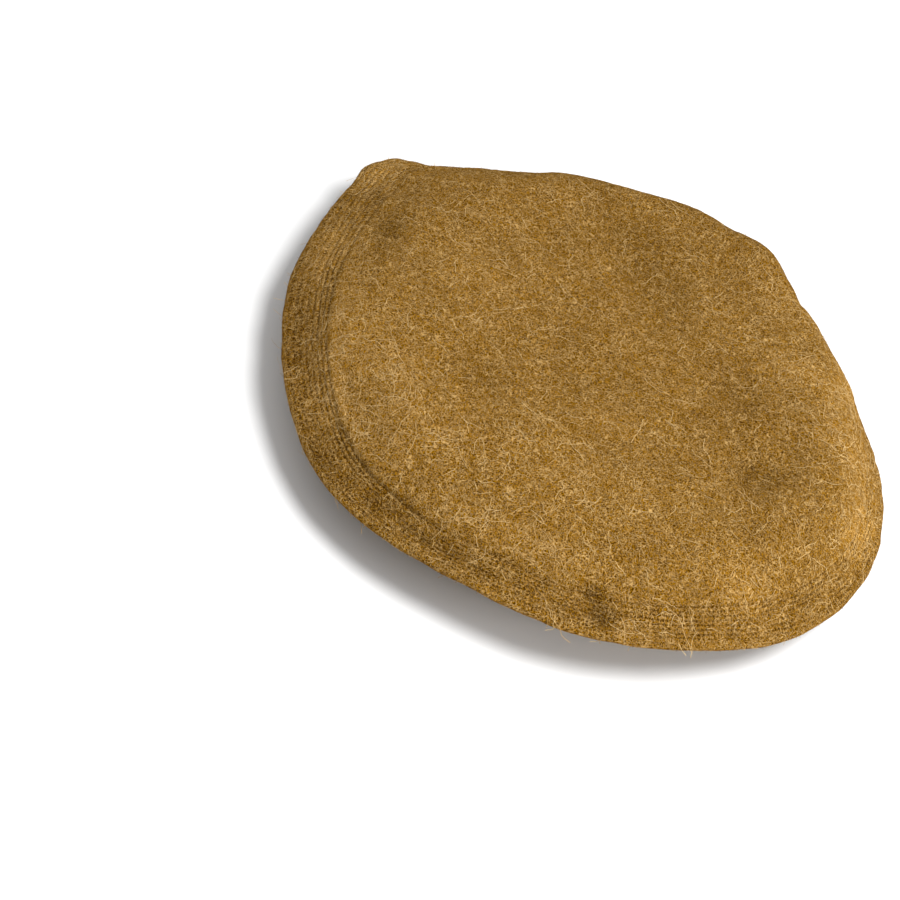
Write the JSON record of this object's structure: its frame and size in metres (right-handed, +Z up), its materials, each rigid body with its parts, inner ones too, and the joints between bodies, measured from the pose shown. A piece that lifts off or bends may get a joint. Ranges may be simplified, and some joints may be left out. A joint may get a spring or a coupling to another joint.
{
  "type": "pakol",
  "caption": "Soft round felted wool hat with a flat overhanging crown, a quilted rim band, a thick rolled brim and a cotton lining, resting on its brim.",
  "frame": {"origin": "under the middle of the hat's overall box, on the surface that the rolled brim rests on", "axes": "+Z up through the crown, -Y towards the side that faces the picture's camera, +X towards the end that lies lower right in it"},
  "size_m": [0.2848, 0.2904, 0.0518],
  "materials": {
    "crown_wool": "matt felted wool, golden brown with paler loose hairs",
    "side_wool": "matt felted wool, golden brown",
    "roll_wool": "matt felted wool, fuzzy, a shade darker",
    "lining_cotton": "smooth grey beige cotton, soft sheen"
  },
  "bodies": {
    "root": {"crown_top": "crown_wool", "crown_side": "side_wool", "brim_roll": "roll_wool", "lining": "lining_cotton"}
  },
  "joints": []
}
